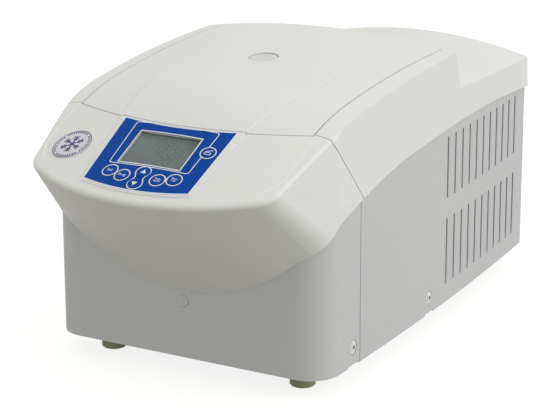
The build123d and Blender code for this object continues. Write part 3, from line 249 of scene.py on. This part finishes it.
def powder_grey(name):
    """Grey powder coat with its orange peel."""
    paint = Paint(name, (0.575, 0.583, 0.578), 0.5)
    paint.tint((0.553, 0.562, 0.56), paint.noise(5.0, 3.0).smooth(0.3, 0.8))
    paint.worn(0.08, 25.0)
    paint.relief(paint.noise(900.0, 2.0), 0.03, 0.5)
    return paint.material


def printed(name, color, roughness):
    """Screen-printed ink, with a faintly uneven film."""
    paint = Paint(name, color, roughness)
    paint.tint(tuple(part * 0.9 for part in color), paint.noise(220.0, 2.0).smooth(0.3, 0.8))
    paint.worn(0.06, 160.0)
    return paint.material


def foil_blue(name, bordered=False):
    """Polyester foil printed blue behind a fine matt texture."""
    paint = Paint(name, (0.003, 0.063, 0.35), 0.4, Specular_IOR_Level=0.05)
    paint.tint((0.0025, 0.056, 0.315), paint.noise(24.0, 2.0).smooth(0.3, 0.75))
    if bordered:
        x, y, z = paint.axes()
        back = y - FRONT
        bow = x * x * 0.0019
        side = abs(x) > FOIL_FOOT_HALF + (back - FOIL_FOOT_BACK) * FOIL_FLARE - FOIL_BORDER
        foot = back < bow * 1.475 + (FOIL_FOOT_MID_BACK + 0.7)
        top = back > bow + (FOIL_TOP_MID_BACK - 0.7)
        inside = (1 - side) * (1 - foot) * (1 - top)
        paint.tint((0.80, 0.84, 0.88), 1 - inside)
    paint.worn(0.08, 60.0)
    paint.relief(paint.noise(3200.0, 1.0), 0.01, 0.4)
    return paint.material


def brushed(name, color, roughness, along):
    """Metal with fine drawn lines along one axis."""
    paint = Paint(name, color, roughness, Metallic=1.0)
    lines = paint.noise(900.0, 2.0, tuple(0.04 if axis == along else 1.0 for axis in "XYZ"))
    paint.tint(tuple(part * 0.86 for part in color), lines.smooth(0.35, 0.7))
    paint.put("Roughness", roughness - 0.05 + lines * 0.12)
    paint.relief(lines, 0.01, 0.4)
    return paint.material


def zinc(name):
    """Zinc-plated sheet: pale, slightly blue, with a cloudy spangle."""
    paint = Paint(name, (0.62, 0.65, 0.66), 0.36, Metallic=1.0)
    cells = paint.node("ShaderNodeTexVoronoi", {"feature": "F1"}, {"Vector": paint.place, "Scale": 70.0})
    paint.tint((0.50, 0.53, 0.55), cells.smooth(0.2, 0.8) * 0.6)
    paint.worn(0.16, 90.0)
    return paint.material


def soft_rubber(name, color):
    """Moulded rubber with dust in its grain."""
    paint = Paint(name, color, 0.72)
    dusty = tuple(part * 1.35 + 0.01 for part in color)
    paint.tint(dusty, paint.noise(120.0, 4.0).smooth(0.45, 0.8))
    paint.worn(0.15, 80.0)
    paint.relief(paint.noise(1500.0, 2.0), 0.03, 0.6)
    return paint.material


def black_moulding(name, roughness=0.5):
    """Black technical plastic with sparked grain."""
    paint = Paint(name, (0.022, 0.022, 0.024), roughness)
    paint.tint((0.034, 0.034, 0.036), paint.noise(60.0, 3.0).smooth(0.4, 0.8))
    paint.worn(0.12, 50.0)
    paint.relief(paint.noise(1800.0, 2.0), 0.02, 0.5)
    return paint.material


def copper_tube(name):
    """Drawn copper, darkened in patches by handling and brazing."""
    paint = Paint(name, (0.80, 0.42, 0.26), 0.3, Metallic=1.0)
    paint.tint((0.36, 0.17, 0.10), paint.noise(45.0, 4.0).smooth(0.5, 0.85))
    paint.worn(0.2, 60.0)
    return paint.material


def pale_foam(name):
    """Yellowish rigid foam with open cells at its skin."""
    paint = Paint(name, (0.72, 0.64, 0.40), 0.85)
    cells = paint.node("ShaderNodeTexVoronoi", {"feature": "F1"}, {"Vector": paint.place, "Scale": 420.0})
    paint.tint((0.50, 0.43, 0.25), cells.smooth(0.1, 0.6) * 0.7)
    paint.relief(cells, 0.4, 0.7)
    return paint.material


def anodised(name):
    """Turned aluminium: fine rings about the rotor's axis, under a clear anodised skin."""
    paint = Paint(name, (0.74, 0.75, 0.76), 0.3, Metallic=1.0)
    x, y, z = paint.axes()
    near = paint.node("ShaderNodeMath", {"operation": "SQRT"}, {0: x * x + (y + 46) * (y + 46)})
    rings = paint.node("ShaderNodeMath", {"operation": "SINE"}, {0: near * 9.0})
    paint.tint((0.60, 0.61, 0.62), rings.smooth(-0.6, 1.0) * 0.6)
    paint.put("Roughness", 0.26 + paint.noise(50.0, 3.0) * 0.1)
    return paint.material


def circuit(name):
    """Green solder resist over tracks."""
    paint = Paint(name, (0.012, 0.13, 0.05), 0.3)
    tracks = paint.node("ShaderNodeTexBrick", {"offset": 0.5}, {
        "Vector": paint.place, "Color1": (0, 0, 0, 1), "Color2": (1, 1, 1, 1), "Mortar": (0.6, 0.6, 0.6, 1),
        "Scale": 160.0, "Mortar Size": 0.02
    })
    paint.tint((0.03, 0.24, 0.09), tracks * 0.6)
    return paint.material


def black_enamel(name):
    """Thick black enamel on a cast or pressed shell."""
    paint = Paint(name, (0.018, 0.018, 0.019), 0.32)
    paint.worn(0.12, 40.0)
    paint.relief(paint.noise(420.0, 2.0), 0.08, 0.4)
    return paint.material


def acrylic(name):
    """Milky acrylic of the sight glass, with painted shade round its rim."""
    paint = Paint(name, (0.66, 0.66, 0.645), 0.14, Coat_Weight=0.4)
    paint.tint((0.60, 0.60, 0.585), paint.noise(60.0, 2.0).smooth(0.3, 0.8))
    x, y, z = paint.axes()
    along = y - (FRONT + SIGHT_BACK)
    near = paint.node("ShaderNodeMath", {"operation": "SQRT"}, {0: x * x + along * along})
    # Dark ring at the rim: painted shade of the recess the glass sits in.
    paint.tint((0.30, 0.30, 0.29), near.smooth(12.2, 13.2) * 0.7)
    return paint.material


def screw_head(name):
    """Bright plated screw, its cross recess shown as a dark cross of painted shade."""
    paint = Paint(name, (0.86, 0.86, 0.85), 0.32, Metallic=1.0)
    x, y, z = paint.axes()
    # Dark cross at each screw: painted shade of its cross recess.
    for back, height in SCREWS:
        along = abs(y - (FRONT + back))
        up = abs(z - height)
        for arm, width in ((along, up), (up, along)):
            paint.tint((0.05, 0.05, 0.05), (arm < 2.1) * (width < 0.7))
    paint.worn(0.12, 90.0)
    return paint.material


def display_face(name):
    """Grey-green liquid crystal cell, with painted shade towards its top and right."""
    paint = Paint(name, (0.105, 0.138, 0.133), 0.2, Coat_Weight=0.25)
    x, y, z = paint.axes()
    paint.tint((0.125, 0.165, 0.16), paint.noise(30.0, 1.0).smooth(0.25, 0.8))
    back = y - FRONT - DISPLAY_BACK
    # Darker towards the top: painted shadow of the recessed window's top rim.
    paint.tint((0.055, 0.075, 0.07), back.smooth(8.0, 17.0) * 0.7)
    # Darker towards the top-right corner: painted shade.
    paint.tint((0.045, 0.062, 0.058), (x + back * 0.9).smooth(22.0, 42.0) * 0.8)
    return paint.material


white = moulded_white("moulded_white")
crease_highlit_white = moulded_white("moulded_white_crease_highlit", crease_and_highlight=True)
liner_white = Paint("liner_grey", (0.60, 0.605, 0.605), 0.5)
liner_white.worn(0.1)
liner_white.relief(liner_white.noise(1400.0, 2.0), 0.03, 0.5)
liner_white = liner_white.material
grey = powder_grey("powder_grey")
plug_grey = powder_grey("plug_grey")
blue = foil_blue("foil_blue")
bordered_blue = foil_blue("foil_blue_bordered", bordered=True)
white_ink = printed("white_ink", (0.80, 0.84, 0.88), 0.4)
navy_ink = printed("navy_ink", (0.02, 0.012, 0.15), 0.45)
label_film = printed("label_film", (0.69, 0.69, 0.745), 0.3)
digit_ink = printed("digit_ink", (0.075, 0.095, 0.09), 0.22)
zinc_plate = zinc("zinc_plate")
bowl_steel = brushed("bowl_steel", (0.62, 0.63, 0.64), 0.28, "Z")
pin_steel = brushed("pin_steel", (0.60, 0.61, 0.62), 0.25, "X")
foot_rubber = soft_rubber("foot_rubber", (0.30, 0.305, 0.205))
seal_rubber = soft_rubber("seal_rubber", (0.025, 0.025, 0.026))
black = black_moulding("black_moulding")
gloss_black = black_moulding("gloss_black", 0.25)
copper = copper_tube("copper_tube")
foam = pale_foam("pale_foam")
rotor_metal = anodised("rotor_metal")
plate_metal = brushed("plate_metal", (0.70, 0.71, 0.72), 0.34, "Y")
board_green = circuit("board_green")
enamel = black_enamel("black_enamel")
sight_acrylic = acrylic("sight_acrylic")
display_glass = display_face("display_face")
screw_metal = screw_head("screw_metal")

FINISHES = {
    white: ("upper_housing", "lid_shell"),
    crease_highlit_white: ("front_cover",),
    liner_white: ("lid_liner",),
    grey: ("front_panel", "rear_hood"),
    plug_grey: ("release_plug",),
    bordered_blue: ("control_foil",),
    blue: tuple(f"key_{name}" for name in KEYS),
    label_film: ("cooling_badge",),
    zinc_plate: (
        "base_pan", "side_frames", "chamber_deck", "bulkhead", "hinge_brackets", "lid_hinge_plates",
        "lid_catch", "lock_hook"
    ),
    screw_metal: ("side_screws",),
    bowl_steel: ("chamber_bowl",),
    pin_steel: ("hinge_pins", "motor_shaft"),
    foot_rubber: ("rubber_feet",),
    seal_rubber: ("lid_gasket", "motor_buffers", "compressor_grommets", "shaft_seal"),
    black: (
        "lock_housing", "fan_shroud", "fan_wheel", "rotor_knob", "mains_inlet", "switch_frame",
        "fuse_drawer", "display_module"
    ),
    gloss_black: ("switch_rocker",),
    copper: ("evaporator_coil", "filter_drier", "discharge_pipe", "suction_pipe"),
    foam: ("bowl_insulation",),
    rotor_metal: ("rotor", "rotor_lid"),
    plate_metal: ("motor_plate", "condenser"),
    board_green: ("drive_board", "control_board"),
    enamel: ("motor_body", "compressor", "fan_motor"),
    sight_acrylic: ("sight_window", "sight_tube"),
    display_glass: ("display_window",),
}
for finish, names in FINISHES.items():
    for name in names:
        nodes[name].data.materials.clear()
        nodes[name].data.materials.append(finish)


# Modelling helpers

def select_only(*pieces):
    bpy.ops.object.select_all(action="DESELECT")
    for piece in pieces:
        piece.select_set(True)
    bpy.context.view_layer.objects.active = pieces[-1]


def apply_modifiers(piece):
    select_only(piece)
    for modifier in list(piece.modifiers):
        bpy.ops.object.modifier_apply(modifier=modifier.name)


def join(name, pieces):
    """Join finished pieces into one under a name."""
    select_only(*pieces)
    if len(pieces) > 1:
        bpy.ops.object.join()
    joined = bpy.context.object
    joined.name = name
    return joined


def bend_onto_roof(piece, across, back, lift):
    """Carry flat work in mm onto the crowned roof round a place."""
    lean = roof_line(back)[1]
    for vertex in piece.data.vertices:
        x, y, z = vertex.co
        vertex.co = on_roof(across + x, back + y * math.cos(lean), lift + z)


def thicken(piece, thickness):
    """Give flat work in metres its thickness in mm, downwards from its face."""
    solid = piece.modifiers.new("thickness", "SOLIDIFY")
    solid.thickness = thickness * MM
    solid.offset = -1
    apply_modifiers(piece)


def outline(across, along, corner, line, bends=8, waist=1.0):
    """Printed outline of even line width, flat about the origin in mm."""
    bpy.ops.object.select_all(action="DESELECT")
    bpy.ops.mesh.primitive_plane_add(size=1)
    piece = bpy.context.object
    bpy.ops.object.mode_set(mode="EDIT")
    bpy.ops.transform.resize(value=(across, along, 1))
    if corner:
        bpy.ops.mesh.bevel(offset=corner, segments=bends, affect="VERTICES")
        bpy.ops.mesh.remove_doubles(threshold=0.01)
    bpy.ops.object.mode_set(mode="OBJECT")
    cut_long_edges(piece, 3.0)
    if waist != 1.0:
        for vertex in piece.data.vertices:
            pinch = math.exp(-((vertex.co.y / 4.2) ** 2))
            vertex.co.x *= 1 - (1 - waist) * pinch
    select_only(piece)
    bpy.ops.object.mode_set(mode="EDIT")
    bpy.ops.mesh.select_all(action="SELECT")
    bpy.ops.mesh.inset(thickness=line)
    bpy.ops.mesh.delete(type="FACE")
    bpy.ops.object.mode_set(mode="OBJECT")
    return piece


def cut_long_edges(piece, longest):
    """Subdivide the edges that are too long to follow a curve."""
    select_only(piece)
    bpy.ops.object.mode_set(mode="EDIT")
    bpy.ops.mesh.select_all(action="DESELECT")
    bpy.ops.object.mode_set(mode="OBJECT")
    bpy.context.tool_settings.mesh_select_mode = (False, True, False)
    for edge in piece.data.edges:
        first, second = (piece.data.vertices[end].co for end in edge.vertices)
        edge.select = (first - second).length > longest
    bpy.ops.object.mode_set(mode="EDIT")
    bpy.ops.mesh.subdivide(number_cuts=8)
    bpy.ops.object.mode_set(mode="OBJECT")
    bpy.context.tool_settings.mesh_select_mode = (False, False, True)


def shift(piece, across, along, turn=0.0):
    """Move and turn flat work in its own plane."""
    piece.data.transform(Matrix.Translation((across, along, 0)) @ Matrix.Rotation(turn, 4, "Z"))
    return piece


def bar(across, along, point=0.0):
    """Filled bar, flat about the origin, with pointed or rounded ends."""
    bpy.ops.object.select_all(action="DESELECT")
    bpy.ops.mesh.primitive_plane_add(size=1)
    piece = bpy.context.object
    bpy.ops.object.mode_set(mode="EDIT")
    bpy.ops.transform.resize(value=(across, along, 1))
    if point:
        bpy.ops.mesh.bevel(offset=point, segments=1, affect="VERTICES")
    bpy.ops.object.mode_set(mode="OBJECT")
    return piece


def lettering(words, size):
    """Words as a flat mesh about the origin in mm."""
    bpy.ops.object.select_all(action="DESELECT")
    bpy.ops.object.text_add()
    piece = bpy.context.object
    piece.data.body = words
    piece.data.size = size
    piece.data.space_line = 0.75
    piece.data.align_x = "CENTER"
    piece.data.align_y = "CENTER"
    piece.data.resolution_u = 4
    bpy.ops.object.convert(target="MESH")
    return bpy.context.object


def finish_print(piece, name, finish, body):
    """Give printed work its name, ink and body."""
    piece.name = name
    piece.data.name = name
    piece.data.materials.clear()
    piece.data.materials.append(finish)
    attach(piece, body)
    return piece


for node in nodes.values():
    select_only(node)
    bpy.ops.object.shade_smooth_by_angle(angle=math.radians(30))

# White print on the blue foil
panel_lines = []
frame_line = outline(80.5, 54.0, 3.0, 0.85, bends=5)
for vertex in frame_line.data.vertices:
    vertex.co.x *= 1 + vertex.co.y * 0.0011
lid_across, lid_back = KEYS["lid"]
lid_place = Vector((lid_across - FRAME_SHIFT, (lid_back - FRAME_BACK) / math.cos(CONSOLE_LEAN), 0))
select_only(frame_line)
for face in frame_line.data.polygons:
    face.select = (face.center - lid_place).length < 6.9
for vertex in frame_line.data.vertices:
    vertex.select = False
bpy.ops.object.mode_set(mode="EDIT")
bpy.ops.mesh.delete(type="FACE")
bpy.ops.object.mode_set(mode="OBJECT")
panel_lines.append((frame_line, FRAME_SHIFT, FRAME_BACK))
panel_lines.append((outline(62.0, 42.0, 0.6, 1.1, bends=2), 0.0, DISPLAY_BACK))
for name, (across, back) in KEYS.items():
    if name not in ("up", "down"):
        panel_lines.append((outline(KEY_RING, KEY_RING, KEY_RING / 2 - 0.01, RING_LINE), across, back))
dumbbell = outline(14.8, 29.0, 7.39, RING_LINE, waist=0.62)
panel_lines.append((dumbbell, 0.0, (KEYS["up"][1] + KEYS["down"][1]) / 2))
bridge = bar(2.6, 4.4)
panel_lines.append((bridge, (KEYS["stop"][0] + KEYS["start"][0]) / 2, -60.0))
for piece, across, back in panel_lines:
    bend_onto_roof(piece, across, back, FOIL_TOP + 0.04)
panel_print = join("panel_print", [piece for piece, across, back in panel_lines])
thicken(panel_print, 0.035)
finish_print(panel_print, "panel_print", white_ink, "base")


# Words and signs on the key caps

def arrow(turn):
    """Solid triangle pointing up the panel."""
    bpy.ops.object.select_all(action="DESELECT")
    bpy.ops.mesh.primitive_circle_add(vertices=3, radius=3.1, fill_type="NGON")
    return shift(bpy.context.object, 0, 0, turn)


def open_lid_sign():
    """Own sign for opening the lid: a box with its cover raised."""
    box = outline(6.4, 3.0, 0.3, 0.55, bends=1)
    shift(box, 0, -1.1)
    cover = shift(bar(6.6, 0.75), 0.35, 2.0, math.radians(24))
    return join("lid_sign", [box, cover])


SIGNS = {
    "set": lambda: lettering("Set", 4.4),
    "program": lambda: lettering("Prog", 4.0),
    "up": lambda: arrow(0.0),
    "down": lambda: arrow(math.pi),
    "stop": lambda: lettering("Stop\nopen", 3.2),
    "start": lambda: lettering("Start\nrun", 3.2),
    "lid": open_lid_sign,
}
for name, sign in SIGNS.items():
    piece = sign()
    piece.data.transform(flat_on_roof(*KEYS[name], KEY_TOP + 0.05))
    thicken(piece, 0.04)
    finish_print(piece, f"sign_{name}", white_ink, f"key_{name}")

# Digits of the display: seven-bar figures, faint as in an unlit cell
BARS = {
    "a": (0, 2, 0), "b": (1, 1, 1), "c": (1, -1, 1), "d": (0, -2, 0), "e": (-1, -1, 1), "f": (-1, 1, 1),
    "g": (0, 0, 0),
}
FIGURES = {
    "0": "abcdef", "1": "bc", "2": "abged", "3": "abgcd", "4": "fgbc", "5": "afgcd", "8": "abcdefg",
}
DIGIT_ROWS = [("15000", -10.5, 11.4), ("1200", -6.0, 0.0), ("20", 4.0, -11.4)]
digit_step = 8.0
figure_half = 2.25
figure_bar = 3.9
figure_line = 0.62
digit_pieces = []
for figures, start, along in DIGIT_ROWS:
    for number, figure in enumerate(figures):
        for letter in FIGURES[figure]:
            side, level, upright = BARS[letter]
            sides = (figure_line, figure_bar) if upright else (figure_bar, figure_line)
            piece = bar(*sides, 0.3)
            slant = level * 0.22
            across = start + number * digit_step + side * figure_half + slant
            shift(piece, across, along + level * figure_half)
            digit_pieces.append(piece)
digits = join("display_digits", digit_pieces)
digits.data.transform(flat_on_roof(0, DISPLAY_BACK, -0.17))
thicken(digits, 0.02)
finish_print(digits, "display_digits", digit_ink, "base")

# Round cooling sign: a ring, a ring of ticks and a six-armed crystal
badge_pieces = [outline(35.0, 35.0, 17.49, 0.7, bends=16)]
for number in range(44):
    turn = number * math.tau / 44
    if number % 11 != 5:
        tick = shift(bar(0.95, 1.9), 15.2 * math.sin(turn), 15.2 * math.cos(turn), -turn)
        badge_pieces.append(tick)
for number in range(6):
    turn = number * math.tau / 6
    arm = [shift(bar(1.2, 10.0), 0, 5.0)]
    for side in (-1, 1):
        for reach in (5.0, 7.6):
            arm.append(shift(bar(0.95, 3.4), side * 1.2, reach + 1.1, -side * math.radians(48)))
    for piece in arm:
        badge_pieces.append(shift(piece, 0, 0, turn))
badge_print = join("badge_print", badge_pieces)
bend_onto_roof(badge_print, *BADGE, BADGE_TOP + 0.2)
thicken(badge_print, 0.03)
finish_print(badge_print, "badge_print", navy_ink, "base")

# Floor, light and camera
bpy.ops.object.select_all(action="DESELECT")
bpy.ops.mesh.primitive_plane_add(size=14)
floor = bpy.context.object
floor.name = "floor"
floor_paint = Paint("pale_floor", (0.32, 0.311, 0.291), 0.9)
floor_paint.tint((0.314, 0.305, 0.285), floor_paint.noise(1.5))
rays = [
    floor_paint.node("ShaderNodeLightPath", output=f"Is {kind} Ray")
    for kind in ("Camera", "Glossy", "Transmission")
]
seen = rays[0] * 0.78 + rays[1] * 0.5 + rays[2] * 0.5
glow = floor_paint.node("ShaderNodeEmission", inputs={"Color": (1, 1, 1, 1), "Strength": seen})
both = floor_paint.node("ShaderNodeAddShader", inputs={
    0: Wire(floor_paint, floor_paint.shader.outputs[0]), 1: glow
})
floor_paint.tree.links.new(both.socket, floor_paint.tree.nodes["Material Output"].inputs["Surface"])
floor.data.materials.append(floor_paint.material)

world = bpy.data.worlds.new("studio")
world.use_nodes = True
world.node_tree.nodes["Background"].inputs["Color"].default_value = (1, 0.995, 0.975, 1)
world.node_tree.nodes["Background"].inputs["Strength"].default_value = 0.82
bpy.context.scene.world = world


def lamp(name, towards, strength, softness, color=(1, 1, 1)):
    """Distant lamp that shines along a direction."""
    bpy.ops.object.light_add(type="SUN")
    made = bpy.context.object
    made.name = name
    made.data.energy = strength * math.pi
    made.data.angle = math.radians(softness)
    made.data.color = color
    made.rotation_euler = Vector(towards).to_track_quat("-Z", "Y").to_euler()


lamp("side_light", (-0.90, -0.22, -0.38), 0.34, 45, (0.95, 0.985, 1.0))

bpy.ops.object.camera_add(location=(0.9288, -1.6259, 0.6592))
camera = bpy.context.object
camera.data.sensor_width = 36
camera.data.lens = 135.03
yaw, pitch, roll = 0.5236, 0.2858, -0.0018
heading = Vector((
    -math.sin(yaw) * math.cos(pitch), math.cos(yaw) * math.cos(pitch), -math.sin(pitch)
))
camera.rotation_euler = (
    heading.to_track_quat("-Z", "Y").to_matrix() @ Matrix.Rotation(roll, 3, "Z")
).to_euler()
bpy.context.scene.camera = camera
bpy.context.scene.view_settings.view_transform = "Standard"
